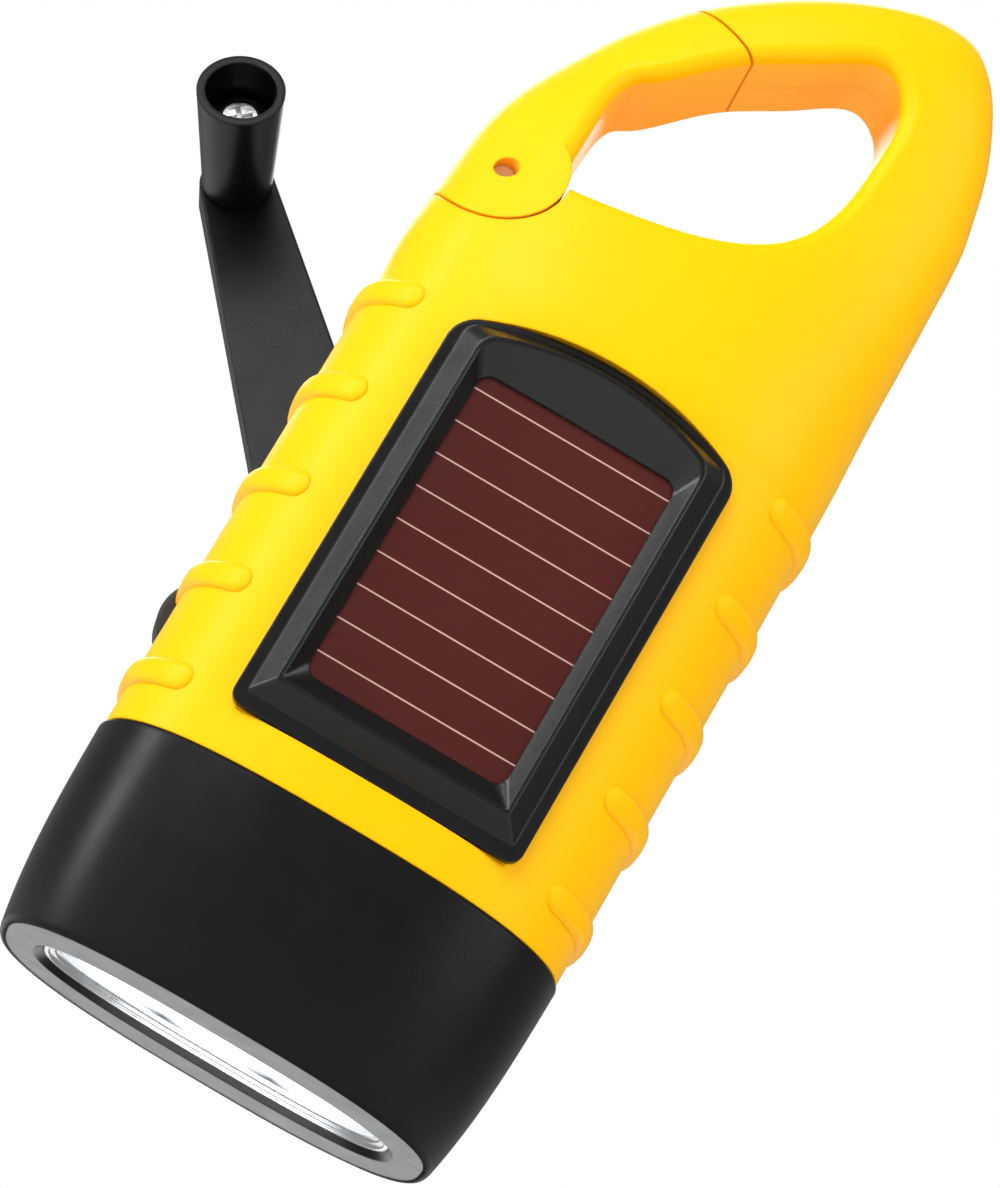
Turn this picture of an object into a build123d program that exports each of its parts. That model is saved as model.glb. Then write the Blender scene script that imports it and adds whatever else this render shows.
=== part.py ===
from build123d import *
import os
from math import acos, cos, pi, radians, sin, tan

# Hand crank flashlight, standing on its lens rim. Millimetres.
# Origin: centre of the rim's plane. +Z runs to the carabiner, -Y is the solar side, +Y the crank side.

# ---- driving dimensions: body ----
over = 1.0                     # how far a cut runs past the face that it opens
body_half_width = 26.8
body_half_depth = 19.0
oval_exponent = 2.7            # superellipse exponent of every oval section
oval_points = 16
oval_start = 2                 # outlines start on a diagonal, clear of every cut
cavity_half_width = 24.6
cavity_half_depth = 15.4
cavity_top = 84.5
generator_pocket_bottom = 68.0
generator_pocket_top = 88.0
generator_pocket_half_width = 9.6
generator_pocket_corner = 2.0
straight_top = 78.0            # the body is a straight prism up to here

# ---- driving dimensions: head ----
head_height = 22.7
head_half_width = 27.1
head_half_depth = 19.3
rim_half_width = 25.1
rim_half_depth = 17.8
rim_round = 0.7
head_swell = [(0.0, 0.0), (0.35, 0.63), (0.7, 0.9), (1.0, 1.0)]   # share of height, share of widening
head_hollow_inset = 1.4
front_wall = 3.4
gasket_thickness = 0.4
gasket_inset = 0.6
collar_height = 2.4
collar_root = 2.0              # how deep the collar is let into the head
collar_wall = 1.5
lens_opening_half_width = 20.3
lens_opening_half_depth = 9.0
lens_bevel = 0.8
lens_seat_depth = 1.4          # how far the lens lies behind the rim
lens_lip = 1.1                 # how far the lens reaches past its opening
lens_thickness = 1.5
cup_pitch = 12.7
cup_radius = 6.15
reflector_depth = 10.0
reflector_flange = 1.2
led_radius = 2.1
led_height = 4.4
led_flange = 0.3
led_flange_height = 0.6
led_socket_gap = 0.4
cup_bend = (0.83, 0.38)        # share of the cup's radius and depth where its curve passes
cup_throat = 0.8               # share of the depth where the socket starts
led_board_thickness = 1.4

# ---- driving dimensions: carabiner ----
eye_edge_round = 1.5
eye_left = -15.0
eye_floor = 95.1
eye_edge_clear = 4.0           # the eye's edges lie at least this far from the seam plane
pivot_x = -20.6
pivot_z = 94.4
knuckle_radius = 6.6
gate_reach = 30.85             # pivot to the gate's free end
gate_gap = 0.3
gate_open_angle = 28.0
gate_root = (-14.2, 96.5)      # where the gate's outline leaves its knuckle, x and z
gate_end_angles = (54.0, 150.0)
lug_reach = 2.0                # how far the lug reaches past the knuckle, at its sides
lug_bulge = 4.0                # and at its middle
lug_angles = (-6.0, -48.0, -88.0)
slot_angles = (-12.0, -65.0, -98.0)
slot_bulge = 6.0
tongue_radius = 4.6
tongue_half_thickness = 3.0
gate_pin_radius = 1.25
gate_pin_half_length = 9.3
spring_height = 1.6
spring_thickness = 1.0
spring_gap = 0.1
running_clearance = 0.06       # radial, shaft in bore

# ---- driving dimensions: ribs ----
rib_count = 5
rib_first_z = 28.9
rib_pitch = 11.85
rib_height = 0.75
rib_width = 2.6
rib_round = 0.7
rib_root = 2.0                 # how deep a rib reaches into the body
rib_half_depth = 18.5         # less than the body's, so each rib dives into the front and back

# ---- driving dimensions: solar window ----
frame_half_width = 16.7
frame_bottom = 28.3
frame_shoulder = 75.2
frame_crown = 79.0
frame_low_corner = 1.5
frame_high_corner = 3.5
frame_floor = 17.2             # depth of the pocket's floor in front of the seam plane
frame_flange = 1.1
frame_height = 3.1
ridge_half_width = 13.4
ridge_bottom = 32.0
ridge_shoulder = 74.3
ridge_crown = 77.3
ridge_low_corner = 0.3
ridge_high_corner = 2.2
ridge_slope = 2.0              # how far the ridge's foot stands out from its crest
ridge_crown_slope = 1.0        # the same at the crown, where the slope is steeper
ridge_flat = 0.4
window_half_width = 11.5
window_bottom = 34.5
window_top = 71.6
panel_lip = 0.5
panel_thickness = 1.0
panel_corner = 0.7
window_corner = 1.5
window_crown = 0.15            # rise of the window's upper edge
pocket_clearance = 0.25
lip_thickness = 0.4
fit_gap = 0.15                 # pieces of one body that drop into each other

# ---- driving dimensions: gear train ----
gear_module = 0.7
pressure_angle = 25.0
addendum = 0.8                 # in modules
dedendum = 1.1
backlash = 0.10
flank_steps = 3
drive_teeth = 42
pinion_teeth = 12
idler_teeth = 36
gear_width = 2.4
crank_z = 42.5
chassis_front = 2.0
chassis_thickness = 1.8
chassis_half_width = 19.0
chassis_bottom = 26.5
chassis_top = 83.4
idler_plane = 5.4              # front face of the large idler wheel
drive_plane = 9.6              # front face of the drive wheel
crank_shaft_radius = 2.5
thin_shaft_radius = 1.0
magnet_radius = 6.1
coil_inner_radius = 6.5
can_radius = 8.6
can_wall = 0.5
can_front = 8.6
can_back = 14.8
bush_radius = 4.5
boss_wall = 2.0
shaft_boss_wall = 1.6
seat_shoulder = 1.0            # how far a boss covers the end of what it holds
end_play = 0.4
rotor_play = 0.2
magnet_play = 1.0
coil_play = 0.6
shaft_tip = 0.6                # how far the shaft stops short of a face

# ---- driving dimensions: fasteners ----
screw_x = 17.0
screw_low_z = 29.5
screw_high_z = 80.0
screw_radius = 1.2
screw_head_radius = 2.2
screw_head_height = 1.6
screw_seat = 14.2              # y of the face under the screw heads
screw_tip = -8.0
boss_radius = 3.0
boss_reach = 3.0               # how far the front bosses stand back from the inner face
screw_head_clearance = 0.2
screw_cross_length = 2.6
screw_cross_width = 0.5
screw_cross_depth = 0.8

# ---- driving dimensions: switch ----
switch_y = 6.2
switch_z = 39.0
switch_half_width = 3.2
switch_half_height = 4.6
switch_crown = 28.4
switch_edge = 25.9
switch_travel = 0.6
switch_gap = 0.25
switch_corner = 0.2
switch_hole_depth = 6.0
switch_hole_length = 10.0
switch_button_depth = 5.2
switch_button_round = 0.5
switch_lean = 0.6              # the bump's highest point lies this much towards the tip
switch_body_gap = 0.1
switch_body_depth = 3.2
switch_body_shift = 0.4
switch_body_inset = 0.4

# ---- driving dimensions: crank ----
crank_spin_angle = 41.0        # from +Z towards -X, as stored
crank_fold_angle = 20.0        # out from the back, as stored
arm_length = 79.3              # hinge pin to knob axis
arm_thickness = 4.0
arm_root_half_width = 9.5
arm_end_radius = 4.4
hub_radius = 10.0
hub_thickness = 1.8
boss_ring_radius = 11.0
boss_ring_proud = 0.6
hub_clearance = 0.3
hub_round = 0.4
hub_slot_reach = 4.3
hinge_height = 2.3             # hinge pin above the hub's face
hinge_pin_radius = 1.25
hinge_pin_inset = 0.8
knuckle_half_width = 4.2
knuckle_growth = 0.2
knuckle_flare = 1.4
knob_length = 16.7
knob_base_radius = 4.1
knob_end_radius = 5.1
knob_cup_radius = 4.1
knob_cup_depth = 6.2
knob_cup_taper = 0.2
knob_screw_radius = 1.6
knob_screw_head = 2.7
knob_screw_head_height = 1.3
knob_screw_bevel = (0.7, 0.5)
knob_screw_bite = 3.0          # length of thread in the arm
knob_cross_length = 3.0
knob_cross_width = 0.6
knob_cross_depth = 0.7
knob_play = 0.25

# ---- driving dimensions: electronics ----
board_front = -3.4
board_thickness = 1.6
board_half_width = 15.0
board_bottom = 34.0
board_top = 76.0
cell_radius = 4.6
cell_length = 7.0
cell_count = 3
cell_z = 62.0
cell_gap = 0.2
cell_lift = 0.8
cradle_wall = 1.0
cradle_clearance = 0.1
post_x = 11.0
post_inset = 4.0
post_radius = 2.2
board_screw_radius = 0.8
board_screw_head = 1.6
board_screw_head_height = 1.0
board_corner = 1.0
chassis_corner = 4.0

os.makedirs("parts", exist_ok=True)


def save(builder, name):
    builder.part.label = name
    export_step(builder.part, f"parts/{name}.step")


def signed_power(value, power):
    return abs(value) ** power * (1 if value >= 0 else -1)


def oval(half_width, half_depth, centre_x=0.0):
    """A superellipse face, to be added to a sketch."""
    power = 2 / oval_exponent
    points = []
    for i in range(oval_points):
        angle = 2 * pi * (i + oval_start) / oval_points
        across = half_width * signed_power(cos(angle), power)
        along = half_depth * signed_power(sin(angle), power)
        points.append((centre_x + across, along))
    with BuildSketch() as outline:
        with BuildLine():
            Spline(*points, periodic=True)
        make_face()
    return outline.face()


def front_plane(depth):
    """Plane at y = -depth whose normal is -Y; its x and y are the part's X and Z."""
    return Plane((0, -depth, 0), x_dir=(1, 0, 0), z_dir=(0, -1, 0))


def bar_y(x, z, radius, y_low, y_high, mode=Mode.ADD):
    """A round bar or hole along Y in the part being built."""
    with BuildSketch(front_plane(-y_high)) as section:
        with Locations((x, z)):
            Circle(radius)
    extrude(section.sketch, amount=y_high - y_low, mode=mode)


def oval_prism(half_width, half_depth, z_low, z_high, mode=Mode.ADD):
    """An oval block or hollow along Z in the part being built."""
    section = Plane.XY.offset(z_low) * oval(half_width, half_depth)
    extrude(section, amount=z_high - z_low, mode=mode)


def involute(angle):
    return tan(angle) - angle


def gear_points(teeth, first_tooth):
    """Outline of a spur gear; first_tooth is the angle of one tooth's middle in degrees."""
    pitch = gear_module * teeth / 2
    base = pitch * cos(radians(pressure_angle))
    tip = pitch + addendum * gear_module
    root = pitch - dedendum * gear_module
    start = max(base, root)
    half_tooth = (pi * gear_module / 2 - backlash) / (2 * pitch) + involute(radians(pressure_angle))
    radii = [start + (tip - start) * step / flank_steps for step in range(flank_steps + 1)]
    flank = [(radius, half_tooth - involute(acos(min(1.0, base / radius)))) for radius in radii]
    if base > root:
        flank.insert(0, (root, flank[0][1]))
    points = []
    for tooth in range(teeth):
        middle = radians(first_tooth) + 2 * pi * tooth / teeth
        for radius, angle in flank:
            points.append((radius * cos(middle - angle), radius * sin(middle - angle)))
        for radius, angle in reversed(flank):
            points.append((radius * cos(middle + angle), radius * sin(middle + angle)))
    return points


def gear_y(z, teeth, first_tooth, y_low, y_high):
    """A spur gear on the part's centre line, its axis along Y."""
    with BuildSketch(front_plane(-y_high)) as section:
        with BuildLine(Location((0, z))):
            Polyline(*gear_points(teeth, first_tooth), close=True)
        make_face()
    extrude(section.sketch, amount=y_high - y_low)


# ---- values worked out from the driving dimensions ----
body_bottom = head_height + gasket_thickness
idler_z = crank_z + gear_module * (drive_teeth + pinion_teeth) / 2
rotor_z = idler_z + gear_module * (idler_teeth + pinion_teeth) / 2
towards_next = 90.0
pinion_first_tooth = 270.0 + 180.0 / pinion_teeth      # a gap faces the wheel below
chassis_back = chassis_front + chassis_thickness
drive_back = drive_plane + gear_width
idler_back = idler_plane + gear_width
boss_ring_face = body_half_depth + boss_ring_proud
hub_front = boss_ring_face + hub_clearance
hub_back = hub_front + hub_thickness
hinge_y = hub_back + hinge_height
housing_screw_points = [(x, z) for x in (-screw_x, screw_x) for z in (screw_low_z, screw_high_z)]
board_screw_heights = (board_bottom + post_inset, board_top - post_inset)
board_screw_points = [(x, z) for x in (-post_x, post_x) for z in board_screw_heights]

# ---- body form: straight oval prism, then a loft that thins towards the tip ----
# each station: height, left edge, right edge, half depth
stations = [
    (straight_top, -body_half_width, body_half_width, body_half_depth),
    (84.0, -26.75, 26.7, 18.7),
    (90.0, -26.45, 26.5, 17.5),
    (96.0, -26.0, 26.35, 15.8),
    (102.0, -25.3, 26.3, 13.9),
    (108.0, -23.3, 26.2, 12.1),
    (113.0, -20.8, 26.1, 10.8),
    (118.0, -17.9, 25.7, 9.8),
    (123.0, -14.1, 24.7, 9.0),
    (127.5, -9.4, 23.4, 8.5),
    (131.0, -4.7, 21.9, 7.9),
    (134.0, 0.2, 20.2, 6.9),
    (136.3, 4.9, 18.3, 5.5),
    (137.9, 8.7, 16.4, 3.6),
    (138.7, 11.3, 14.6, 1.6),
]
eye_right_and_top = [
    (eye_left, eye_floor), (-6.0, 96.1), (2.4, 98.7), (8.8, 103.5), (12.0, 111.0), (12.8, 119.0),
    (11.7, 126.0), (8.8, 128.0), (3.0, 125.3), (-5.5, 119.4), (-12.0, 113.0), (eye_left, 104.5),
]
pivot = (pivot_x, pivot_z)
through = 2 * body_half_depth
spring_low = tongue_half_thickness - spring_height
part_middle_z = stations[-1][0] / 2
eye_right = max(x for x, z in eye_right_and_top)
eye_top = max(z for x, z in eye_right_and_top)


def from_pivot(radius, angle):
    return (pivot_x + radius * cos(radians(angle)), pivot_z + radius * sin(radians(angle)))


def gate_region(clearance):
    """The gate's outline seen from the front, grown by a clearance."""
    reach = gate_reach + clearance
    first, last = gate_end_angles
    with BuildSketch(front_plane(body_half_depth + over)) as region:
        with BuildLine():
            Line(pivot, gate_root)
            Line(gate_root, from_pivot(reach, first))
            CenterArc(pivot, reach, first, last - first)
            Line(from_pivot(reach, last), (pivot_x - body_half_width, pivot_z))
            Line((pivot_x - body_half_width, pivot_z), pivot)
        make_face()
        with Locations(pivot):
            Circle(knuckle_radius + clearance)
    return region.sketch


with BuildPart() as body_form:
    with BuildSketch(Plane.XY.offset(body_bottom)):
        add(oval(body_half_width, body_half_depth))
    extrude(amount=straight_top - body_bottom)
    for height, left, right, half_depth in stations:
        with BuildSketch(Plane.XY.offset(height)):
            add(oval((right - left) / 2, half_depth, (left + right) / 2))
    loft()
    with BuildSketch(front_plane(body_half_depth + over)):
        with BuildLine():
            Spline(*eye_right_and_top, tangents=[(1, 0), (0, -1)])
            Line(eye_right_and_top[-1], (eye_left, eye_floor))
        make_face()
        with Locations(pivot):
            Circle(knuckle_radius, mode=Mode.SUBTRACT)
    extrude(amount=-through - 2 * over, mode=Mode.SUBTRACT)
    eye_edges = [
        edge for edge in body_form.edges()
        if eye_floor - over < edge.center().Z < eye_top + over
        and eye_left - over < edge.center().X < eye_right + over
        and abs(edge.center().Y) > eye_edge_clear and edge.length > knuckle_radius
    ]
    fillet(eye_edges, radius=eye_edge_round)

with BuildPart() as ribs:
    for i in range(rib_count):
        middle = rib_first_z + i * rib_pitch
        oval_prism(body_half_width + rib_height, rib_half_depth, middle - rib_width / 2, middle + rib_width / 2)
    fillet(ribs.edges().filter_by(GeomType.BSPLINE), radius=rib_round)
    oval_prism(body_half_width - rib_root, rib_half_depth - rib_root, body_bottom, straight_top,
               mode=Mode.SUBTRACT)


def tongue(y_low, y_high):
    """Half of the lug that carries the gate's pin, joined to the shell beside the knuckle."""
    with BuildSketch(front_plane(-y_high)) as section:
        with Locations(pivot):
            Circle(tongue_radius)
        with BuildLine():
            Polyline(pivot, from_pivot(knuckle_radius + lug_reach, lug_angles[0]),
                     from_pivot(knuckle_radius + lug_bulge, lug_angles[1]),
                     from_pivot(knuckle_radius + lug_reach, lug_angles[2]), close=True)
        make_face()
        with Locations(pivot):
            Circle(gate_pin_radius, mode=Mode.SUBTRACT)
    extrude(section.sketch, amount=y_high - y_low)


def crowned(depth, half_width, low, shoulder, crown, low_corner, high_corner):
    """An outline seen from the front: straight sides, rounded corners and a crowned top."""
    with BuildSketch(front_plane(depth)) as outline:
        with BuildLine():
            Polyline((-half_width, shoulder), (-half_width, low), (half_width, low), (half_width, shoulder))
            ThreePointArc((half_width, shoulder), (0, crown), (-half_width, shoulder))
        make_face()
        fillet(outline.vertices().sort_by(Axis.Y)[:2], radius=low_corner)
        fillet(outline.vertices().sort_by(Axis.Y)[-2:], radius=high_corner)
    return outline.sketch


def frame_outline(clearance):
    """Outline of the solar frame, grown by a clearance."""
    return crowned(frame_floor, frame_half_width + clearance, frame_bottom - clearance, frame_shoulder + clearance,
                   frame_crown + clearance, frame_low_corner + clearance, frame_high_corner + clearance)


def ridge_outline(depth, out, up):
    """Outline of the frame's ridge, its crest moved out by one distance and up by another."""
    return crowned(depth, ridge_half_width + out, ridge_bottom - out, ridge_shoulder + up, ridge_crown + up,
                   ridge_low_corner, ridge_high_corner)


def window_plate(depth, half_width, low, high, corner, amount, mode=Mode.ADD):
    """A rounded rectangle seen from the front, extruded towards the front from a given depth."""
    with BuildSketch(front_plane(depth)) as outline:
        with Locations((0, (low + high) / 2)):
            RectangleRounded(2 * half_width, high - low, corner)
    extrude(outline.sketch, amount=amount, mode=mode)


def half_block(amount):
    """Keeps what lies in front of the seam plane, or behind it when the amount is negative."""
    with BuildSketch(front_plane(0)) as outline:
        with Locations((0, part_middle_z)):
            Rectangle(4 * body_half_width, 2 * part_middle_z + 2 * over)
    extrude(outline.sketch, amount=amount, mode=Mode.INTERSECT)


# ---- shells ----
with BuildPart() as housing:
    add(body_form.part)
    add(ribs.part)
    extrude(gate_region(gate_gap), amount=-through - 2 * over, mode=Mode.SUBTRACT)
    oval_prism(cavity_half_width, cavity_half_depth, body_bottom - over, cavity_top, mode=Mode.SUBTRACT)

with BuildPart() as front_shell:
    add(housing.part)
    half_block(through)
    extrude(frame_outline(pocket_clearance), amount=frame_height + over, mode=Mode.SUBTRACT)
    for x, z in housing_screw_points:
        bar_y(x, z, boss_radius, -cavity_half_depth + boss_reach, chassis_front)
        bar_y(x, z, screw_radius, screw_tip, chassis_front, mode=Mode.SUBTRACT)
    tongue(-tongue_half_thickness, 0)
save(front_shell, "front_shell")

with BuildPart() as back_shell:
    add(housing.part)
    half_block(-through)
    window_plate(0, generator_pocket_half_width, generator_pocket_bottom, generator_pocket_top,
                 generator_pocket_corner, -cavity_half_depth, mode=Mode.SUBTRACT)
    bar_y(0, crank_z, boss_ring_radius, body_half_depth - boss_wall, boss_ring_face)
    bar_y(0, crank_z, bush_radius + boss_wall, drive_back + seat_shoulder, body_half_depth - over)
    bar_y(0, crank_z, bush_radius, drive_back, boss_ring_face + over, mode=Mode.SUBTRACT)
    bar_y(0, idler_z, thin_shaft_radius + shaft_boss_wall, drive_back + seat_shoulder, cavity_half_depth + over)
    bar_y(0, idler_z, thin_shaft_radius, drive_back, cavity_half_depth, mode=Mode.SUBTRACT)
    for x, z in housing_screw_points:
        bar_y(x, z, boss_radius, chassis_back, screw_seat)
        bar_y(x, z, screw_radius, chassis_back - over, body_half_depth, mode=Mode.SUBTRACT)
        bar_y(x, z, screw_head_radius + screw_head_clearance, screw_seat, body_half_depth, mode=Mode.SUBTRACT)
    with BuildSketch(Plane.YZ.offset(-switch_edge + switch_hole_depth)):
        with Locations((switch_y, switch_z)):
            RectangleRounded(2 * switch_half_width, 2 * switch_half_height, switch_corner)
    extrude(amount=-switch_hole_length, mode=Mode.SUBTRACT)
    tongue(0, tongue_half_thickness)
    bar_y(pivot_x, pivot_z, gate_pin_radius + spring_thickness + 2 * spring_gap, spring_low,
          tongue_half_thickness, mode=Mode.SUBTRACT)
save(back_shell, "back_shell")

# ---- gate of the carabiner ----
slot_half_thickness = tongue_half_thickness + gate_gap
with BuildPart() as gate:
    add(body_form.part)
    extrude(gate_region(0), amount=-through - 2 * over, mode=Mode.INTERSECT)
    with BuildSketch(front_plane(-slot_half_thickness)) as gate_slot:
        with Locations(pivot):
            Circle(tongue_radius + gate_gap)
        with BuildLine():
            Polyline(pivot, from_pivot(knuckle_radius + lug_reach, gate_open_angle),
                     from_pivot(knuckle_radius + slot_bulge, slot_angles[0]),
                     from_pivot(knuckle_radius + slot_bulge, slot_angles[1]),
                     from_pivot(knuckle_radius + lug_reach, slot_angles[2]), close=True)
        make_face()
    extrude(amount=2 * slot_half_thickness, mode=Mode.SUBTRACT)
    bar_y(pivot_x, pivot_z, gate_pin_radius + running_clearance, -body_half_depth, body_half_depth,
          mode=Mode.SUBTRACT)
save(gate, "gate")

with BuildPart() as gate_pin:
    bar_y(pivot_x, pivot_z, gate_pin_radius, -gate_pin_half_length, gate_pin_half_length)
save(gate_pin, "gate_pin")

with BuildPart() as gate_spring:
    bar_y(pivot_x, pivot_z, gate_pin_radius + spring_gap + spring_thickness, spring_low, tongue_half_thickness)
    bar_y(pivot_x, pivot_z, gate_pin_radius + spring_gap, spring_low, tongue_half_thickness, mode=Mode.SUBTRACT)
save(gate_spring, "gate_spring")

# ---- head ----
with BuildPart() as head_cap:
    for up, out in head_swell:
        with BuildSketch(Plane.XY.offset(head_height * up)):
            add(oval(rim_half_width + out * (head_half_width - rim_half_width),
                     rim_half_depth + out * (head_half_depth - rim_half_depth)))
    loft()
    fillet(head_cap.edges().group_by(Axis.Z)[0], radius=rim_round)
    oval_prism(rim_half_width - head_hollow_inset, rim_half_depth - head_hollow_inset, front_wall, head_height,
               mode=Mode.SUBTRACT)
    oval_prism(cavity_half_width - fit_gap, cavity_half_depth - fit_gap, head_height - collar_root,
               head_height + collar_height)
    oval_prism(cavity_half_width - collar_wall, cavity_half_depth - collar_wall, front_wall,
               head_height + collar_height, mode=Mode.SUBTRACT)
    seat_half_width = lens_opening_half_width + lens_lip
    seat_half_depth = lens_opening_half_depth + lens_lip
    oval_prism(lens_opening_half_width, lens_opening_half_depth, -over, front_wall, mode=Mode.SUBTRACT)
    oval_prism(seat_half_width + fit_gap, seat_half_depth + fit_gap, lens_seat_depth, front_wall,
               mode=Mode.SUBTRACT)
    opening_edges = head_cap.edges().group_by(Axis.Z)[0].sort_by(SortBy.LENGTH)[:1]
    chamfer(opening_edges, length=lens_bevel)
save(head_cap, "head_cap")

with BuildPart() as head_gasket:
    oval_prism(head_half_width - gasket_inset, head_half_depth - gasket_inset, head_height, body_bottom)
    oval_prism(cavity_half_width, cavity_half_depth, head_height, body_bottom, mode=Mode.SUBTRACT)
save(head_gasket, "head_gasket")

with BuildPart() as lens:
    oval_prism(seat_half_width, seat_half_depth, lens_seat_depth, lens_seat_depth + lens_thickness)
save(lens, "lens")

reflector_front = lens_seat_depth + lens_thickness
reflector_back = reflector_front + reflector_depth
cup_points = [(i * cup_pitch, 0) for i in (-1, 0, 1)]
socket_radius = led_radius + led_socket_gap
with BuildPart() as reflector:
    oval_prism(seat_half_width, seat_half_depth, reflector_front, reflector_back)
    oval_prism(cavity_half_width - collar_wall - fit_gap, cavity_half_depth - collar_wall - fit_gap,
               reflector_back - reflector_flange, reflector_back)
    for x, y in cup_points:
        with BuildSketch(Plane((x, y, reflector_front), x_dir=(1, 0, 0), z_dir=(0, -1, 0))):
            with BuildLine():
                Line((0, 0), (cup_radius, 0))
                ThreePointArc((cup_radius, 0), (cup_radius * cup_bend[0], reflector_depth * cup_bend[1]),
                              (socket_radius, reflector_depth * cup_throat))
                Polyline((socket_radius, reflector_depth * cup_throat), (socket_radius, reflector_depth + over),
                         (0, reflector_depth + over), (0, 0))
            make_face()
        revolve(axis=Axis((x, y, 0), (0, 0, 1)), mode=Mode.SUBTRACT)
save(reflector, "reflector")

for number, (x, y) in enumerate(cup_points, start=1):
    with BuildPart() as led:
        with BuildSketch(Plane((x, y, reflector_back), x_dir=(1, 0, 0), z_dir=(0, -1, 0))):
            with BuildLine():
                Polyline((0, 0), (led_radius + led_flange, 0), (led_radius + led_flange, -led_flange_height),
                         (led_radius, -led_flange_height), (led_radius, -led_height + led_radius))
                RadiusArc((led_radius, -led_height + led_radius), (0, -led_height), led_radius)
                Line((0, -led_height), (0, 0))
            make_face()
        revolve(axis=Axis((x, y, 0), (0, 0, 1)))
    save(led, f"led_{number}")

with BuildPart() as led_board:
    oval_prism(seat_half_width, seat_half_depth, reflector_back, reflector_back + led_board_thickness)
save(led_board, "led_board")

# ---- solar window ----
flange_face = frame_floor + frame_flange
crest_face = frame_floor + frame_height
lip_face = frame_floor + panel_thickness + lip_thickness
seat_edge = panel_lip + fit_gap
with BuildPart() as solar_frame:
    extrude(frame_outline(0), amount=frame_flange)
    foot = ridge_outline(flange_face, ridge_slope, ridge_crown_slope)
    crest = ridge_outline(crest_face, 0, 0)
    loft([foot.face(), crest.face()], ruled=True)
    mouth = ridge_outline(crest_face, -ridge_flat, -ridge_flat)
    window = crowned(lip_face, window_half_width, window_bottom, window_top - window_crown, window_top,
                     window_corner, window_corner)
    loft([mouth.face(), window.face()], ruled=True, mode=Mode.SUBTRACT)
    extrude(crowned(frame_floor, window_half_width, window_bottom, window_top - window_crown, window_top,
                    window_corner, window_corner), amount=panel_thickness + lip_thickness, mode=Mode.SUBTRACT)
    window_plate(frame_floor, window_half_width + seat_edge, window_bottom - seat_edge, window_top + seat_edge,
                 panel_corner, panel_thickness, mode=Mode.SUBTRACT)
save(solar_frame, "solar_frame")

with BuildPart() as solar_panel:
    window_plate(frame_floor, window_half_width + panel_lip, window_bottom - panel_lip,
                 window_top + panel_lip, panel_corner, panel_thickness)
save(solar_panel, "solar_panel")

# ---- chassis, board and cells ----
with BuildPart() as chassis:
    window_plate(-chassis_back, chassis_half_width, chassis_bottom, chassis_top, chassis_corner,
                 chassis_thickness)
    for x, z in board_screw_points:
        bar_y(x, z, post_radius, board_front + board_thickness, chassis_front)
        bar_y(x, z, board_screw_radius, board_front + board_thickness, chassis_front, mode=Mode.SUBTRACT)
    for x, z in housing_screw_points:
        bar_y(x, z, screw_radius, chassis_front, chassis_back, mode=Mode.SUBTRACT)
    bar_y(0, crank_z, crank_shaft_radius + running_clearance, chassis_front, chassis_back, mode=Mode.SUBTRACT)
    bar_y(0, idler_z, thin_shaft_radius, chassis_front, chassis_back, mode=Mode.SUBTRACT)
    bar_y(0, rotor_z, thin_shaft_radius + running_clearance, chassis_front, chassis_back, mode=Mode.SUBTRACT)
save(chassis, "chassis")

with BuildPart() as main_board:
    window_plate(-board_front - board_thickness, board_half_width, board_bottom, board_top, board_corner,
                 board_thickness)
    for x, z in board_screw_points:
        bar_y(x, z, board_screw_radius, board_front, board_front + board_thickness, mode=Mode.SUBTRACT)
save(main_board, "main_board")

with BuildPart() as board_screws:
    for x, z in board_screw_points:
        bar_y(x, z, board_screw_radius, board_front, chassis_front)
        bar_y(x, z, board_screw_head, board_front - board_screw_head_height, board_front)
save(board_screws, "board_screws")

cell_y = board_front - cell_radius - cell_lift
cell_pitch = cell_length + cell_gap
cells_length = cell_count * cell_pitch
with BuildPart() as cell_cradle:
    with BuildSketch(Plane.YZ.offset(-cells_length / 2 - cradle_wall)):
        with Locations(((cell_y + board_front) / 2, cell_z)):
            Rectangle(board_front - cell_y, 2 * (cell_radius + cradle_wall))
        with Locations((cell_y, cell_z)):
            Circle(cell_radius + cradle_clearance, mode=Mode.SUBTRACT)
    extrude(amount=cells_length + 2 * cradle_wall)
save(cell_cradle, "cell_cradle")

for number in range(cell_count):
    with BuildPart() as cell:
        with BuildSketch(Plane.YZ.offset(-cells_length / 2 + cell_gap / 2 + number * cell_pitch)):
            with Locations((cell_y, cell_z)):
                Circle(cell_radius)
        extrude(amount=cell_length)
    save(cell, f"cell_{number + 1}")

# ---- switch ----
plunger_face = -switch_edge + switch_hole_depth + switch_body_gap
with BuildPart() as switch_body:
    with BuildSketch(Plane.YZ.offset(plunger_face)):
        with Locations((switch_y + switch_body_shift, switch_z)):
            Rectangle(2 * (switch_half_width - switch_body_inset), 2 * (switch_half_height - switch_body_inset))
    extrude(amount=switch_body_depth)
save(switch_body, "switch_body")

with BuildPart() as switch_button:
    half_height = switch_half_height - switch_gap
    inner_face = -switch_edge + switch_button_depth
    with BuildSketch(front_plane(-switch_y - switch_half_width + switch_gap)):
        with BuildLine():
            ThreePointArc((-switch_edge, switch_z - half_height), (-switch_crown, switch_z + switch_lean),
                          (-switch_edge, switch_z + half_height))
            Polyline((-switch_edge, switch_z + half_height), (inner_face, switch_z + half_height),
                     (inner_face, switch_z - half_height), (-switch_edge, switch_z - half_height))
        make_face()
    extrude(amount=2 * (switch_half_width - switch_gap))
    fillet(switch_button.edges().filter_by(GeomType.CIRCLE), radius=switch_button_round)
save(switch_button, "switch_button")

# ---- gear train and generator ----
with BuildPart() as crank_shaft:
    bar_y(0, crank_z, crank_shaft_radius, chassis_front - shaft_tip, hub_back - shaft_tip)
save(crank_shaft, "crank_shaft")

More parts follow.
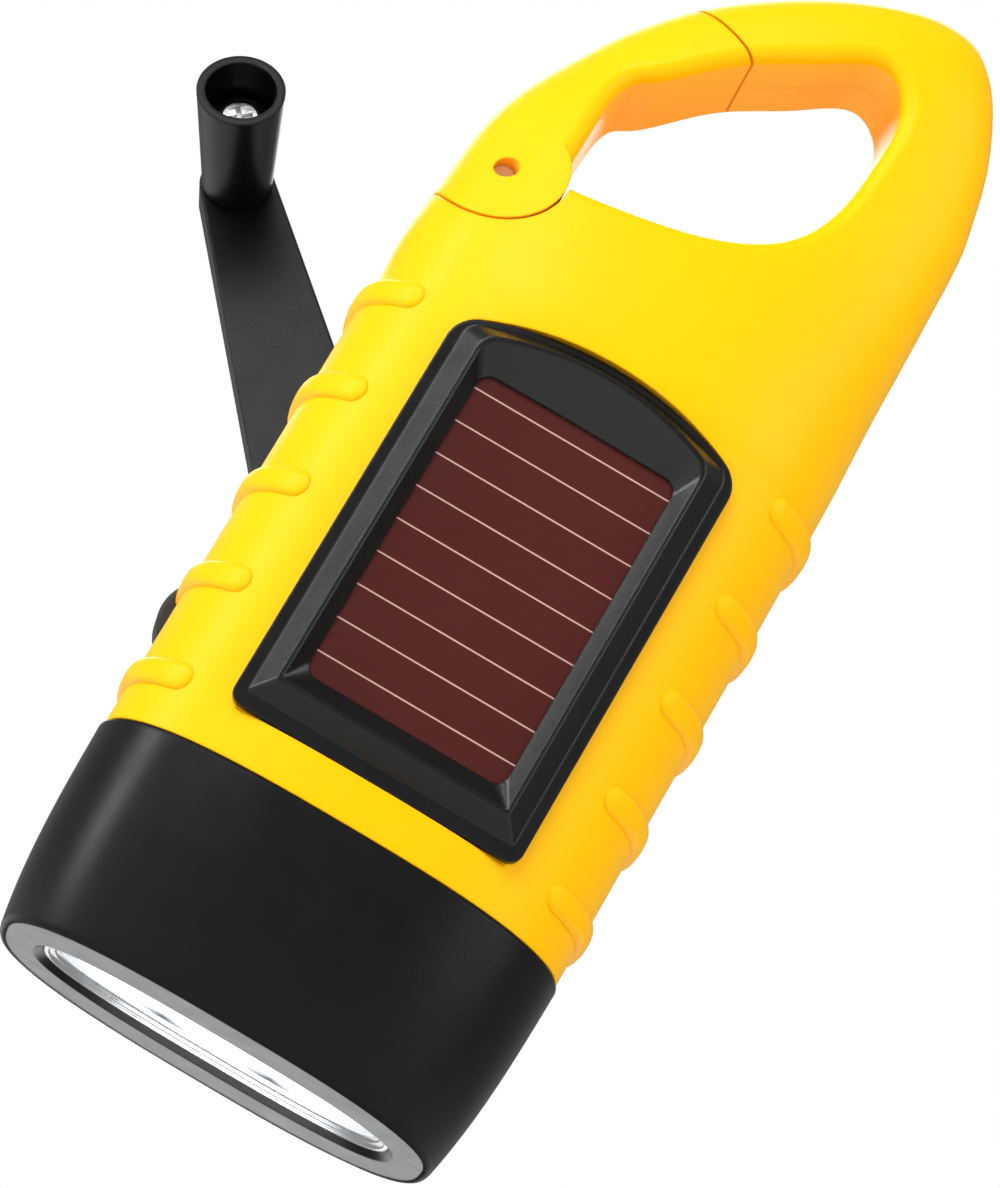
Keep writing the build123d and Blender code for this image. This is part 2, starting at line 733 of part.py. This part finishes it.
with BuildPart() as drive_gear:
    gear_y(crank_z, drive_teeth, towards_next, drive_plane, drive_back)
    bar_y(0, crank_z, crank_shaft_radius + boss_wall, chassis_back + end_play, drive_plane)
    bar_y(0, crank_z, crank_shaft_radius, chassis_back, drive_back, mode=Mode.SUBTRACT)
save(drive_gear, "drive_gear")

with BuildPart() as shaft_bush:
    bar_y(0, crank_z, bush_radius, drive_back + seat_shoulder, boss_ring_face)
    bar_y(0, crank_z, crank_shaft_radius + running_clearance, drive_back, boss_ring_face, mode=Mode.SUBTRACT)
save(shaft_bush, "shaft_bush")

with BuildPart() as idler_gear:
    gear_y(idler_z, idler_teeth, towards_next, idler_plane, idler_back)
    gear_y(idler_z, pinion_teeth, pinion_first_tooth, idler_back, drive_back + end_play)
    bar_y(0, idler_z, thin_shaft_radius + running_clearance, idler_plane, drive_back + end_play,
          mode=Mode.SUBTRACT)
save(idler_gear, "idler_gear")

with BuildPart() as idler_shaft:
    bar_y(0, idler_z, thin_shaft_radius, chassis_front, cavity_half_depth)
save(idler_shaft, "idler_shaft")

with BuildPart() as rotor_pinion:
    gear_y(rotor_z, pinion_teeth, pinion_first_tooth, idler_plane - rotor_play, idler_back + rotor_play)
    bar_y(0, rotor_z, thin_shaft_radius, chassis_front + rotor_play, can_back + rotor_play / 2)
save(rotor_pinion, "rotor_pinion")

with BuildPart() as rotor_magnet:
    bar_y(0, rotor_z, magnet_radius, can_front + rotor_play, can_back - magnet_play)
    bar_y(0, rotor_z, thin_shaft_radius, can_front, can_back, mode=Mode.SUBTRACT)
save(rotor_magnet, "rotor_magnet")

with BuildPart() as generator_can:
    bar_y(0, rotor_z, can_radius, can_front, can_back)
    bar_y(0, rotor_z, can_radius - can_wall, can_front, can_back - can_wall, mode=Mode.SUBTRACT)
    bar_y(0, rotor_z, thin_shaft_radius + running_clearance, can_front, can_back, mode=Mode.SUBTRACT)
save(generator_can, "generator_can")

with BuildPart() as coil:
    bar_y(0, rotor_z, can_radius - can_wall, can_front + coil_play, can_back - can_wall)
    bar_y(0, rotor_z, coil_inner_radius, can_front, can_back, mode=Mode.SUBTRACT)
save(coil, "coil")

# ---- housing screws ----
with BuildPart() as housing_screws:
    for x, z in housing_screw_points:
        bar_y(x, z, screw_radius, screw_tip, screw_seat)
        bar_y(x, z, screw_head_radius, screw_seat, screw_seat + screw_head_height)
        with BuildSketch(front_plane(-screw_seat - screw_head_height)):
            with Locations((x, z)):
                Rectangle(screw_cross_width, screw_cross_length)
                Rectangle(screw_cross_length, screw_cross_width)
        extrude(amount=screw_cross_depth, mode=Mode.SUBTRACT)
save(housing_screws, "housing_screws")

# ---- crank ----
spin = radians(crank_spin_angle)
fold = radians(crank_fold_angle)
arm_flat = Vector(-sin(spin), 0, cos(spin))
outward = Vector(0, 1, 0)
arm_way = arm_flat * cos(fold) + outward * sin(fold)
knob_way = arm_flat * sin(fold) - outward * cos(fold)
hinge = Vector(0, hinge_y, crank_z)
hinge_way = arm_way.cross(knob_way)
hub_side = Plane(hinge, x_dir=arm_flat, z_dir=hinge_way)
arm_top = Plane(hinge, x_dir=arm_way, z_dir=knob_way)
arm_side = Plane(hinge, x_dir=arm_way, z_dir=hinge_way)
knob_foot = hinge + arm_way * arm_length + knob_way * (arm_thickness / 2)
knob_side = Plane(knob_foot, x_dir=arm_way, z_dir=hinge_way)
knob_axis = Axis(knob_foot, knob_way)
knuckle_round = arm_thickness / 2 + knuckle_growth
knuckle_foot = hinge_height + knuckle_growth

with BuildPart() as crank_hub:
    bar_y(0, crank_z, hub_radius, hub_front, hub_back)
    fillet(crank_hub.edges().filter_by(GeomType.CIRCLE), radius=hub_round)
    with BuildSketch(hub_side):
        Circle(knuckle_round)
        with BuildLine():
            Polyline((-knuckle_round, 0), (knuckle_round, 0), (knuckle_round + knuckle_flare, knuckle_foot),
                     (-knuckle_round - knuckle_flare, knuckle_foot), close=True)
        make_face()
    extrude(amount=knuckle_half_width, both=True)
    with BuildSketch(hub_side):
        Circle(hinge_pin_radius)
    extrude(amount=knuckle_half_width, both=True, mode=Mode.SUBTRACT)
    bar_y(0, crank_z, crank_shaft_radius, hub_front, hub_back - shaft_tip, mode=Mode.SUBTRACT)
save(crank_hub, "crank_hub")

with BuildPart() as hinge_pin:
    with BuildSketch(hub_side):
        Circle(hinge_pin_radius)
    extrude(amount=arm_root_half_width - hinge_pin_inset, both=True)
save(hinge_pin, "hinge_pin")

with BuildPart() as crank_arm:
    with BuildSketch(arm_side):
        Circle(arm_thickness / 2)
        with Locations(((arm_length + arm_end_radius) / 2, 0)):
            Rectangle(arm_length + arm_end_radius, arm_thickness)
    extrude(amount=arm_root_half_width + over, both=True)
    with BuildSketch(arm_top.offset(-arm_thickness)):
        with BuildLine():
            Polyline((arm_length, -arm_end_radius), (-arm_thickness, -arm_root_half_width),
                     (-arm_thickness, arm_root_half_width), (arm_length, arm_end_radius))
            ThreePointArc((arm_length, arm_end_radius), (arm_length + arm_end_radius, 0),
                          (arm_length, -arm_end_radius))
        make_face()
        slot_end = knuckle_round + hub_slot_reach
        with Locations(((slot_end - arm_thickness) / 2, 0)):
            Rectangle(slot_end + arm_thickness, 2 * (knuckle_half_width + gate_gap), mode=Mode.SUBTRACT)
    extrude(amount=2 * arm_thickness, mode=Mode.INTERSECT)
    with BuildSketch(arm_side):
        Circle(hinge_pin_radius + running_clearance)
    extrude(amount=arm_root_half_width + over, both=True, mode=Mode.SUBTRACT)
    with BuildSketch(Plane(knob_foot, x_dir=arm_way, z_dir=knob_way)):
        Circle(knob_screw_radius)
    extrude(amount=-knob_screw_bite, mode=Mode.SUBTRACT)
save(crank_arm, "crank_arm")

cup_floor = knob_play + knob_length - knob_cup_depth
with BuildPart() as knob:
    with BuildSketch(knob_side):
        with BuildLine():
            Polyline((knob_screw_radius + running_clearance, knob_play), (knob_base_radius, knob_play),
                     (knob_end_radius, knob_play + knob_length), (knob_cup_radius, knob_play + knob_length),
                     (knob_cup_radius - knob_cup_taper, cup_floor), (knob_screw_radius + running_clearance, cup_floor),
                     close=True)
        make_face()
    revolve(axis=knob_axis)
save(knob, "knob")

head_top = cup_floor + knob_play + knob_screw_head_height
with BuildPart() as knob_screw:
    with BuildSketch(knob_side):
        with BuildLine():
            Polyline((0, -knob_screw_bite), (knob_screw_radius, -knob_screw_bite),
                     (knob_screw_radius, cup_floor + knob_play), (knob_screw_head, cup_floor + knob_play),
                     (knob_screw_head, head_top - knob_screw_bevel[1]),
                     (knob_screw_head - knob_screw_bevel[0], head_top), (0, head_top), close=True)
        make_face()
    revolve(axis=knob_axis)
    with BuildSketch(Plane(knob_foot + knob_way * head_top, x_dir=arm_way, z_dir=knob_way)):
        Rectangle(knob_cross_width, knob_cross_length)
        Rectangle(knob_cross_length, knob_cross_width)
    extrude(amount=-knob_cross_depth, mode=Mode.SUBTRACT)
save(knob_screw, "knob_screw")
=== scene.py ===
from math import cos, pi, radians, sin

import bpy
from mathutils import Matrix, Vector


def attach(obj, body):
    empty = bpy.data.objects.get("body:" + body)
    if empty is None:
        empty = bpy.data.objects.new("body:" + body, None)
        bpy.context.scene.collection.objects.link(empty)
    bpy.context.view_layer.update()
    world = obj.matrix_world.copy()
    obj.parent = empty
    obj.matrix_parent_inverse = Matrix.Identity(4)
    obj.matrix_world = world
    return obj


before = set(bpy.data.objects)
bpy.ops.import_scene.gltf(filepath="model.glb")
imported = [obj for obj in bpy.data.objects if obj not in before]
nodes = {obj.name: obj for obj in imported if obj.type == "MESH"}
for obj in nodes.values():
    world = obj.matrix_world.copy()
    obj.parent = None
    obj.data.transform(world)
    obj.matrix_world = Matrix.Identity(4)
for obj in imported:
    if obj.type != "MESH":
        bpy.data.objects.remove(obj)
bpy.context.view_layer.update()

MM = 0.001
scene = bpy.context.scene


def hexcolour(text):
    """sRGB hex to a linear colour."""
    values = [int(text[i:i + 2], 16) / 255 for i in (0, 2, 4)]
    return tuple(v / 12.92 if v <= 0.04045 else ((v + 0.055) / 1.055) ** 2.4 for v in values) + (1.0,)


class NodeTree:
    """Adds nodes to a node tree and links them."""

    def __init__(self, tree):
        self.tree = tree

    def node(self, kind, **settings):
        made = self.tree.nodes.new(kind)
        for key, value in settings.items():
            setattr(made, key, value)
        return made

    def link(self, a, b):
        self.tree.links.new(a, b)

    def feed(self, made, **values):
        """Gives sockets of a node a value, or a link where the value is another node's output."""
        for key, value in values.items():
            socket = made.inputs[key.replace("_", " ")]
            if isinstance(value, bpy.types.NodeSocket):
                self.link(value, socket)
            else:
                socket.default_value = value
        return made

    def math(self, operation, a, b=None):
        made = self.node("ShaderNodeMath", operation=operation)
        for socket, value in zip(made.inputs, (a, b)):
            if value is None:
                continue
            if isinstance(value, (int, float)):
                socket.default_value = value
            else:
                self.link(value, socket)
        return made.outputs[0]

    def blend(self, factor, first, second):
        """A shader that goes from first to second as factor goes from 0 to 1."""
        mix = self.node("ShaderNodeMixShader")
        for socket, value in zip(mix.inputs, (factor, first, second)):
            self.link(value, socket)
        return mix.outputs[0]


class Shader(NodeTree):
    """A Principled material that is built up node by node."""

    def __init__(self, name, colour, roughness, **sockets):
        self.material = bpy.data.materials.new(name)
        self.material.use_nodes = True
        super().__init__(self.material.node_tree)
        self.surface = self.tree.nodes["Principled BSDF"]
        self.feed(self.surface, Base_Color=hexcolour(colour), Roughness=roughness, **sockets)
        self.height = None
        self.place = self.node("ShaderNodeTexCoord").outputs["Object"]

    def noise(self, scale, detail=3.0, stretch=None):
        """A noise value, with scale in bumps a metre."""
        place = self.place
        if stretch:
            mapping = self.feed(self.node("ShaderNodeMapping"), Scale=stretch, Vector=place)
            place = mapping.outputs["Vector"]
        noise = self.feed(self.node("ShaderNodeTexNoise"), Scale=scale, Detail=detail, Vector=place)
        return noise.outputs["Fac"]

    def spread(self, value, low, high, from_low=0.3, from_high=0.7):
        """A value between from_low and from_high becomes one between low and high."""
        ranged = self.feed(self.node("ShaderNodeMapRange"), From_Min=from_low, From_Max=from_high,
                           To_Min=low, To_Max=high, Value=value)
        return ranged.outputs["Result"]

    def tint(self, factor, first, second):
        """The base colour goes from first to second as factor goes from 0 to 1."""
        mix = self.node("ShaderNodeMix", data_type="RGBA")
        colours = [s for s in mix.inputs if s.type == "RGBA"]
        self.link(factor, mix.inputs[0])
        for socket, colour in zip(colours, (first, second)):
            if isinstance(colour, str):
                socket.default_value = hexcolour(colour)
            else:
                self.link(colour, socket)
        out = [s for s in mix.outputs if s.type == "RGBA"][0]
        self.link(out, self.surface.inputs["Base Color"])
        return out

    def rough(self, value):
        self.link(value, self.surface.inputs["Roughness"])

    def bump(self, value, distance):
        """Adds a bump of that many metres over the last one."""
        bump = self.feed(self.node("ShaderNodeBump"), Strength=1.0, Distance=distance, Height=value)
        if self.height:
            self.link(self.height, bump.inputs["Normal"])
        self.height = bump.outputs["Normal"]
        self.link(self.height, self.surface.inputs["Normal"])

    def axis(self, letter):
        split = self.node("ShaderNodeSeparateXYZ")
        self.link(self.place, split.inputs[0])
        return split.outputs[letter]


# ---- materials ----
CLOUD_SCALE, CLOUD_DETAIL, WANDER_SCALE, WANDER_DOWN, WANDER_UP = 38.0, 4.0, 260.0, 0.02, 0.03
GRAIN_DETAIL, BEVEL_SAMPLES = 2.0, 4


def moulded(name, colour, shade, roughness, grain_scale, grain, edge=0.00035, **sockets):
    """Moulded plastic: slight cloudiness, fine grain, softened edges and a roughness that wanders."""
    made = Shader(name, colour, roughness, **sockets)
    made.tint(made.spread(made.noise(CLOUD_SCALE, CLOUD_DETAIL), 0.0, 1.0), colour, shade)
    made.rough(made.spread(made.noise(WANDER_SCALE), roughness - WANDER_DOWN, roughness + WANDER_UP))
    soft_edge = made.feed(made.node("ShaderNodeBevel", samples=BEVEL_SAMPLES), Radius=edge)
    made.height = soft_edge.outputs["Normal"]
    made.bump(made.noise(grain_scale, GRAIN_DETAIL), grain)
    return made


yellow = moulded("yellow_abs", colour="ffbe00", shade="ffba00", roughness=0.38,
                 grain_scale=1500.0, grain=0.000012, Specular_IOR_Level=0.1)
black = moulded("black_satin", colour="0c0c0d", shade="0a0a0b", roughness=0.33,
                grain_scale=2600.0, grain=0.000012, Specular_IOR_Level=0.2)
frame_black = moulded("black_frame", colour="0b0b0c", shade="09090a", roughness=0.27,
                      grain_scale=3000.0, grain=0.00001, Specular_IOR_Level=0.36)
crank_black = moulded("black_crank", colour="080809", shade="060607", roughness=0.36,
                      grain_scale=3200.0, grain=0.000014, edge=0.0005, Specular_IOR_Level=0.18)
rubber = moulded("soft_rubber", colour="161616", shade="121212", roughness=0.62,
                 grain_scale=4200.0, grain=0.00004)
white_abs = moulded("white_abs", colour="dcdcd8", shade="d0d0cb", roughness=0.4,
                    grain_scale=1500.0, grain=0.00001)

LAMP_PITCH = 0.0127


def painted_glow_mask(made, reach, power):
    """Mask for a painted glow: 1 on the axis of the nearest lamp, falling to 0 at reach."""
    x, y = made.axis("X"), made.axis("Y")
    step = made.math("ROUND", made.math("DIVIDE", x, LAMP_PITCH))
    step = made.math("MINIMUM", made.math("MAXIMUM", step, -1.0), 1.0)
    across = made.math("SUBTRACT", x, made.math("MULTIPLY", step, LAMP_PITCH))
    squares = made.math("ADD", made.math("MULTIPLY", across, across), made.math("MULTIPLY", y, y))
    away = made.math("SQRT", squares)
    near = made.math("MAXIMUM", made.math("SUBTRACT", 1.0, made.math("DIVIDE", away, reach)), 0.0)
    return made.math("POWER", near, power)


def paint_glow(made, strength, everywhere, reach, power):
    """Painted glow: emission on a part that is no lamp, standing in for light from the lamps behind, strongest
    on their axes, with a little everywhere.
    """
    glow = made.math("ADD", made.math("MULTIPLY", painted_glow_mask(made, reach, power), strength), everywhere)
    made.feed(made.surface, Emission_Color=hexcolour("f7fbff"), Emission_Strength=glow)


lens_clear = Shader("clear_lens", colour="fbfdff", roughness=0.02, Transmission_Weight=1.0, IOR=1.49)
lens_clear.rough(lens_clear.spread(lens_clear.noise(90.0), 0.015, 0.05))
# Painted glow: the lens gets emission that stands in for the lamps' light shining through it.
paint_glow(lens_clear, strength=0.42, everywhere=0.0, reach=0.0075, power=1.2)

chrome = Shader("chrome_plating", colour="e6e8ea", roughness=0.1, Metallic=1.0)
chrome.rough(chrome.spread(chrome.noise(500.0), 0.06, 0.16))
chrome.bump(chrome.noise(240.0, detail=1.0), 0.00004)
# Painted glow: the reflector gets emission that stands in for the lamps' light on it, with a little
# everywhere.
paint_glow(chrome, strength=1.1, everywhere=0.1, reach=0.0078, power=0.8)

led = Shader("led_resin", colour="f5fbff", roughness=0.12,
             Emission_Color=hexcolour("f4faff"), Emission_Strength=30.0)
led.tint(led.spread(led.noise(900.0), 0.0, 1.0), "f5fbff", "ffffff")

board = Shader("green_board", colour="1f6b3a", roughness=0.4, Coat_Weight=0.3)
board.tint(board.spread(board.noise(700.0, detail=0.0), 0.0, 1.0, 0.48, 0.52), "1f6b3a", "2a7d47")

steel = Shader("turned_steel", colour="c4c6c8", roughness=0.26, Metallic=1.0)
steel.rough(steel.spread(steel.noise(900.0, stretch=(1.0, 6.0, 1.0)), 0.18, 0.36))
steel.bump(steel.noise(2400.0, detail=2.0), 0.00001)

pin_metal = Shader("pin_end", colour="ece6e0", roughness=0.3, Metallic=0.5)
pin_metal.bump(pin_metal.noise(1500.0), 0.00006)

cell_wrap = Shader("cell_wrap", colour="5f7f9b", roughness=0.3, Coat_Weight=0.5)
cell_wrap.tint(cell_wrap.spread(cell_wrap.noise(120.0), 0.0, 1.0), "5f7f9b", "6a8aa6")

copper = Shader("wound_copper", colour="b8683a", roughness=0.3, Metallic=1.0)
copper.bump(copper.noise(3500.0, detail=0.0, stretch=(0.15, 0.15, 1.0)), 0.00008)

magnet = Shader("nickel_magnet", colour="9a9ca0", roughness=0.3, Metallic=1.0)
magnet.rough(magnet.spread(magnet.noise(700.0), 0.22, 0.4))

# The panel: amorphous strips across it, with a fine pale line between neighbours.
STRIP_FIRST, STRIP_PITCH, STRIP_LINE = 0.0373, 0.00404, 0.00008
LINES_FROM, LINES_TO = 0.0355, 0.0705
cell = Shader("solar_film", colour="54231e", roughness=0.26, Specular_IOR_Level=0.25)
strip = cell.math("DIVIDE", cell.math("SUBTRACT", cell.axis("Z"), STRIP_FIRST), STRIP_PITCH)
offset = cell.math("ABSOLUTE", cell.math("SUBTRACT", strip, cell.math("ROUND", strip)))
on_line = cell.math("LESS_THAN", offset, STRIP_LINE / STRIP_PITCH)
above = cell.math("GREATER_THAN", cell.axis("Z"), LINES_FROM)
below = cell.math("LESS_THAN", cell.axis("Z"), LINES_TO)
line = cell.math("MULTIPLY", on_line, cell.math("MULTIPLY", above, below))
film = cell.tint(cell.spread(cell.noise(45.0, detail=1.0), 0.0, 1.0, 0.2, 0.8), "481a16", "4c1d19")
cell.tint(line, film, "c79d96")
cell.rough(cell.spread(cell.noise(120.0, detail=1.0), 0.24, 0.28, 0.2, 0.8))


def dress(material, *names):
    for name in names:
        mesh = nodes[name].data
        mesh.materials.clear()
        mesh.materials.append(material.material)
        for polygon in mesh.polygons:
            polygon.material_index = 0


dress(yellow, "front_shell", "back_shell", "gate")
dress(black, "head_cap")
dress(frame_black, "solar_frame")
dress(crank_black, "crank_hub", "crank_arm", "knob")
dress(rubber, "switch_button", "head_gasket")
dress(white_abs, "chassis", "cell_cradle", "switch_body", "drive_gear", "idler_gear", "rotor_pinion",
      "shaft_bush")
dress(lens_clear, "lens")
dress(chrome, "reflector")
dress(led, "led_1", "led_2", "led_3")
dress(board, "led_board", "main_board")
dress(steel, "crank_shaft", "hinge_pin", "idler_shaft", "knob_screw", "board_screws", "housing_screws",
      "gate_spring", "generator_can")
dress(pin_metal, "gate_pin")
dress(cell_wrap, "cell_1", "cell_2", "cell_3")
dress(copper, "coil")
dress(magnet, "rotor_magnet")
dress(cell, "solar_panel")


# ---- pieces that the scene adds ----
OVAL_POWER = 2.7
BODY_X, BODY_Y = 26.8 * MM, 19.0 * MM


def new_object(name, data):
    made = bpy.data.objects.new(name, data)
    scene.collection.objects.link(made)
    return made


def signed(size, number):
    """size, with the sign of number."""
    return size if number >= 0 else -size


def oval_point(half_x, half_y, angle):
    """A point of the oval and the way out of it there."""
    c, s = cos(angle), sin(angle)
    x = signed(half_x * abs(c) ** (2 / OVAL_POWER), c)
    y = signed(half_y * abs(s) ** (2 / OVAL_POWER), s)
    way = Vector((signed(abs(x / half_x) ** (OVAL_POWER - 1) / half_x, x),
                  signed(abs(y / half_y) ** (OVAL_POWER - 1) / half_y, y), 0.0))
    return Vector((x, y, 0.0)), way.normalized()


def piece(name, points, faces, material, body):
    """A smooth mesh piece that rides on a body."""
    mesh = bpy.data.meshes.new(name)
    mesh.from_pydata([tuple(p) for p in points], [], faces)
    mesh.materials.append(material.material)
    for polygon in mesh.polygons:
        polygon.use_smooth = True
    mesh.validate()
    made = new_object(name, mesh)
    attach(made, body)


def grid_faces(rows, columns, closed=False):
    faces = []
    for i in range(rows - 1):
        for j in range(columns if closed else columns - 1):
            k = (j + 1) % columns
            faces.append((i * columns + j, i * columns + k, (i + 1) * columns + k, (i + 1) * columns + j))
    return faces


RIB_HALF, RIB_HEIGHT, RIB_END_HEIGHT, RIB_SUNK = 1.55 * MM, 0.94 * MM, 0.6 * MM, 0.12 * MM
RIB_COUNT, RIB_FIRST, RIB_PITCH, RIB_RISE = 5, 28.9 * MM, 11.85 * MM, 7.0 * MM
RIB_STATIONS, RIB_COLUMNS, RIB_PATH_STEPS = 90, 15, 600
RIB_END_POWER, RIB_CROWN_POWER = 0.7, 3.0
RIB_END_ANGLE, SWITCH_EDGE_ANGLE, RIB_AT_SWITCH = radians(44.5), radians(4.2), 1


def rib_pad(name, height, side, first, last):
    """A soft rib round one side, from one angle of the oval to another, with rounded ends."""
    angles = [first + (last - first) * i / RIB_PATH_STEPS for i in range(RIB_PATH_STEPS + 1)]
    path = [oval_point(BODY_X, BODY_Y, a) for a in angles]
    lengths = [0.0]
    for (start, _), (end, _) in zip(path, path[1:]):
        lengths.append(lengths[-1] + (end - start).length)
    whole = lengths[-1]
    points = []
    at = 0
    for i in range(RIB_STATIONS):
        share = 0.5 - 0.5 * cos(pi * i / (RIB_STATIONS - 1))
        length = share * whole
        while at < len(lengths) - 2 and lengths[at + 1] < length:
            at += 1
        place, way = path[at]
        to_end = min(length, whole - length)
        bite = max(0.0, 1.0 - to_end / RIB_HALF)
        half = RIB_HALF * max(0.0, 1.0 - bite * bite) ** 0.5
        rise = min(1.0, to_end / RIB_RISE)
        top = (RIB_END_HEIGHT + (RIB_HEIGHT - RIB_END_HEIGHT) * rise) * (half / RIB_HALF) ** RIB_END_POWER
        for j in range(RIB_COLUMNS):
            across = -cos(pi * j / (RIB_COLUMNS - 1))
            lift = top * max(0.0, 1.0 - abs(across) ** RIB_CROWN_POWER) ** 0.5
            spot = place + way * (lift - RIB_SUNK)
            points.append(Vector((spot.x * side, spot.y, height + across * half)))
    faces = grid_faces(RIB_STATIONS, RIB_COLUMNS)
    if side < 0:
        faces = [tuple(reversed(f)) for f in faces]
    piece(name, points, faces, yellow, "body")


for i in range(RIB_COUNT):
    for side, letter in ((1, "right"), (-1, "left")):
        behind_switch = side < 0 and i == RIB_AT_SWITCH
        last_angle = SWITCH_EDGE_ANGLE if behind_switch else RIB_END_ANGLE
        rib_pad(f"rib_pad_{letter}_{i + 1}", RIB_FIRST + i * RIB_PITCH, side, -RIB_END_ANGLE, last_angle)

# The stepped ring between the head's opening and the lens: (inset from the opening, height) round its profile.
OPENING_X, OPENING_Y = 20.3 * MM, 9.0 * MM
RING_PROFILE = [(0.06, 1.38), (0.06, 0.72), (0.16, 0.62), (0.5, 0.62), (0.62, 0.7), (0.62, 0.92), (0.7, 1.0),
                (1.1, 1.0), (1.22, 1.08), (1.22, 1.24), (1.3, 1.32), (1.9, 1.38)]
RING_STEPS = 160
ring_points = []
for inset, height in RING_PROFILE:
    for i in range(RING_STEPS):
        angle = 2 * pi * (i + 0.5) / RING_STEPS
        spot, _ = oval_point(OPENING_X - inset * MM, OPENING_Y - inset * MM, angle)
        ring_points.append(Vector((spot.x, spot.y, height * MM)))
ring_metal = Shader("ring_satin", colour="b9bbbd", roughness=0.3, Metallic=0.85)
ring_metal.rough(ring_metal.spread(ring_metal.noise(600.0), 0.24, 0.36))
ring_faces = grid_faces(len(RING_PROFILE), RING_STEPS, closed=True)
piece("lens_ring", ring_points, ring_faces, ring_metal, "body")


# ---- floor and world ----
FLOOR_HALF, FLOOR_HEIGHT, FLOOR_STEPS = 1.6, -0.00015, 96
HOLE_X, HOLE_Y = 0.0243, 0.0170
FADE_FROM, FADE_TO = 0.25, 0.75
WORLD_LIGHT, SEEN_WHITE = 0.32, 1.0


def floor_mesh():
    """A wide floor with a hole that the head's rim covers, so that light reaches the lens from below."""
    inner = []
    outer = []
    for i in range(FLOOR_STEPS):
        angle = 2.0 * pi * (i + 0.5) / FLOOR_STEPS
        c, s = cos(angle), sin(angle)
        inner.append((signed(abs(c) ** (2.0 / OVAL_POWER) * HOLE_X, c),
                      signed(abs(s) ** (2.0 / OVAL_POWER) * HOLE_Y, s)))
        reach = FLOOR_HALF / max(abs(c), abs(s))
        outer.append((c * reach, s * reach))
    faces = []
    for i in range(FLOOR_STEPS):
        j = (i + 1) % FLOOR_STEPS
        faces.append((i, FLOOR_STEPS + i, FLOOR_STEPS + j, j))
    mesh = bpy.data.meshes.new("floor")
    mesh.from_pydata([(x, y, FLOOR_HEIGHT) for x, y in inner + outer], [], faces)
    return mesh


floor = new_object("floor", floor_mesh())
ground = Shader("pale_floor", colour="f0f0ee", roughness=0.85)
surface = ground.node("ShaderNodeNewGeometry")
# Far out the floor fades to the white of the background, so that no horizon shows.
distance = ground.feed(ground.node("ShaderNodeVectorMath", operation="LENGTH"),
                       Vector=surface.outputs["Position"])
fade = ground.feed(ground.node("ShaderNodeMapRange", interpolation_type="SMOOTHSTEP"),
                   From_Min=FADE_FROM, From_Max=FADE_TO, Value=distance.outputs["Value"])
seen = ground.node("ShaderNodeLightPath").outputs["Is Camera Ray"]
far = ground.math("MULTIPLY", fade.outputs["Result"], seen)
glow = ground.feed(ground.node("ShaderNodeEmission"), Strength=SEEN_WHITE)
top = ground.blend(far, ground.surface.outputs[0], glow.outputs[0])
# From below it is clear, because the camera looks up from there.
clear = ground.node("ShaderNodeBsdfTransparent")
either = ground.blend(surface.outputs["Backfacing"], top, clear.outputs[0])
ground.link(either, ground.tree.nodes["Material Output"].inputs["Surface"])
floor.data.materials.append(ground.material)

world = bpy.data.worlds.new("studio")
scene.world = world
world.use_nodes = True
world.node_tree.nodes.clear()
studio = NodeTree(world.node_tree)
soft, white = (studio.feed(studio.node("ShaderNodeBackground"), Color=(1.0, 1.0, 1.0, 1.0), Strength=strength)
               for strength in (WORLD_LIGHT, SEEN_WHITE))
path = studio.node("ShaderNodeLightPath")
shown = studio.math("MAXIMUM", path.outputs["Is Camera Ray"], path.outputs["Is Transmission Ray"])
sky = studio.blend(shown, soft.outputs[0], white.outputs[0])
studio.link(sky, studio.node("ShaderNodeOutputWorld").inputs["Surface"])


# ---- lamps ----
def lamp(name, place, target, size, watts, height=None):
    data = bpy.data.lights.new(name, "AREA")
    data.energy = watts
    data.size = size
    if height:
        data.shape = "RECTANGLE"
        data.size_y = height
    made = new_object(name, data)
    made.location = place
    made.rotation_mode = "QUATERNION"
    made.rotation_quaternion = (Vector(target) - Vector(place)).to_track_quat("-Z", "Y")


MIDDLE, FOOT, LOW = (0.0, 0.0, 0.07), (0.0, 0.0, 0.0), (0.0, 0.0, 0.05)
lamp("key", (-0.42, -0.6, 0.55), MIDDLE, size=0.5, watts=5.4)
lamp("fill", (0.6, -0.5, 0.5), MIDDLE, size=0.6, watts=3.6)
lamp("left_strip", (-0.58, -0.13, 0.2), LOW, size=0.12, watts=2.1, height=0.5)
lamp("back", (-0.1, 0.6, 0.5), MIDDLE, size=0.5, watts=3.2)
lamp("under", (-0.03, -0.12, -0.25), FOOT, size=0.15, watts=1.0)
lamp("rim_card", (0.0, 0.7, -0.22), FOOT, size=0.9, watts=1.5, height=0.3)

# ---- camera, fitted to the photograph ----
AZIMUTH, ELEVATION, ROLL = radians(0.07), radians(-16.86), radians(30.52)
CAMERA_PLACE = Vector((2.04, -501.47, -94.45)) * MM
SENSOR, FOCAL_PIXELS, LONG_SIDE_PIXELS = 36.0, 5000.0, 1188.0
back = Vector((sin(AZIMUTH) * cos(ELEVATION), -cos(AZIMUTH) * cos(ELEVATION), sin(ELEVATION)))
level_right = Vector((cos(AZIMUTH), sin(AZIMUTH), 0.0))
level_up = back.cross(level_right)
right = cos(ROLL) * level_right + sin(ROLL) * level_up
up = -sin(ROLL) * level_right + cos(ROLL) * level_up
camera_data = bpy.data.cameras.new("camera")
camera_data.sensor_width = SENSOR
camera_data.lens = FOCAL_PIXELS * SENSOR / LONG_SIDE_PIXELS
camera_data.clip_start = 0.01
camera_data.clip_end = 20.0
camera = new_object("camera", camera_data)
turn = Matrix((right, up, back)).transposed().to_4x4()
camera.matrix_world = Matrix.Translation(CAMERA_PLACE) @ turn
scene.camera = camera

scene.view_settings.view_transform = "Standard"
